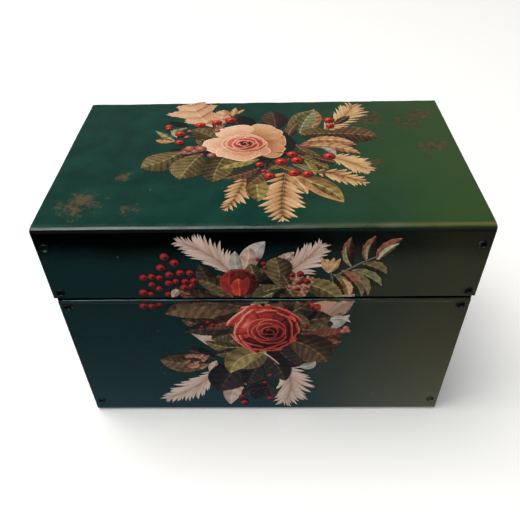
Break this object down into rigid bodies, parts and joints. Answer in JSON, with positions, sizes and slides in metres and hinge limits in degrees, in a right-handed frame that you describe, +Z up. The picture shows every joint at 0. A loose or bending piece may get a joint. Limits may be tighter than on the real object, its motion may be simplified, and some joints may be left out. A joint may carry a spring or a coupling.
{
  "type": "hinged card file box",
  "caption": "Painted sheet-metal card box with a hinged overlapping lid, corner rivets and flower cut-outs pasted on the lid and front.",
  "frame": {"origin": "middle of the box's footprint, on the surface that it stands on", "axes": "+X along the front from left to right, -Y towards the front, +Z up"},
  "size_m": [0.1336, 0.0809, 0.0906],
  "materials": {
    "green_enamel": "old dark green gloss enamel, worn to olive on the right, with rust spots",
    "rivet_steel": "darkened tinned steel under traces of green paint",
    "hinge_steel": "dull tinned steel with green paint on it",
    "print_paper": "printed paper flowers under a thin clear varnish"
  },
  "bodies": {
    "base": {"base_end_left": "green_enamel", "base_end_right": "green_enamel", "base_front_print": "print_paper", "base_rivet_back_high_left": "rivet_steel", "base_rivet_back_high_right": "rivet_steel", "base_rivet_back_low_left": "rivet_steel", "base_rivet_back_low_right": "rivet_steel", "base_rivet_front_high_left": "rivet_steel", "base_rivet_front_high_right": "rivet_steel", "base_rivet_front_low_left": "rivet_steel", "base_rivet_front_low_right": "rivet_steel", "base_wrap": "green_enamel", "hinge_leaf_base": "hinge_steel", "hinge_rivet_base_1": "rivet_steel", "hinge_rivet_base_2": "rivet_steel", "hinge_rivet_base_3": "rivet_steel", "hinge_rivet_base_4": "rivet_steel", "hinge_wire": "hinge_steel"},
    "lid": {"hinge_leaf_lid": "hinge_steel", "hinge_rivet_lid_1": "rivet_steel", "hinge_rivet_lid_2": "rivet_steel", "hinge_rivet_lid_3": "rivet_steel", "hinge_rivet_lid_4": "rivet_steel", "lid_end_left": "green_enamel", "lid_end_right": "green_enamel", "lid_front_print": "print_paper", "lid_rivet_back_high_left": "rivet_steel", "lid_rivet_back_high_right": "rivet_steel", "lid_rivet_back_low_left": "rivet_steel", "lid_rivet_back_low_right": "rivet_steel", "lid_rivet_front_high_left": "rivet_steel", "lid_rivet_front_high_right": "rivet_steel", "lid_rivet_front_low_left": "rivet_steel", "lid_rivet_front_low_right": "rivet_steel", "lid_top_print": "print_paper", "lid_wrap": "green_enamel"}
  },
  "joints": [
    {"name": "lid_hinge", "type": "hinge", "parent": "base", "child": "lid", "pos_m": [0, 0.039, 0.0623], "axis": [-1, 0, 0], "range_deg": [0, 105]}
  ]
}
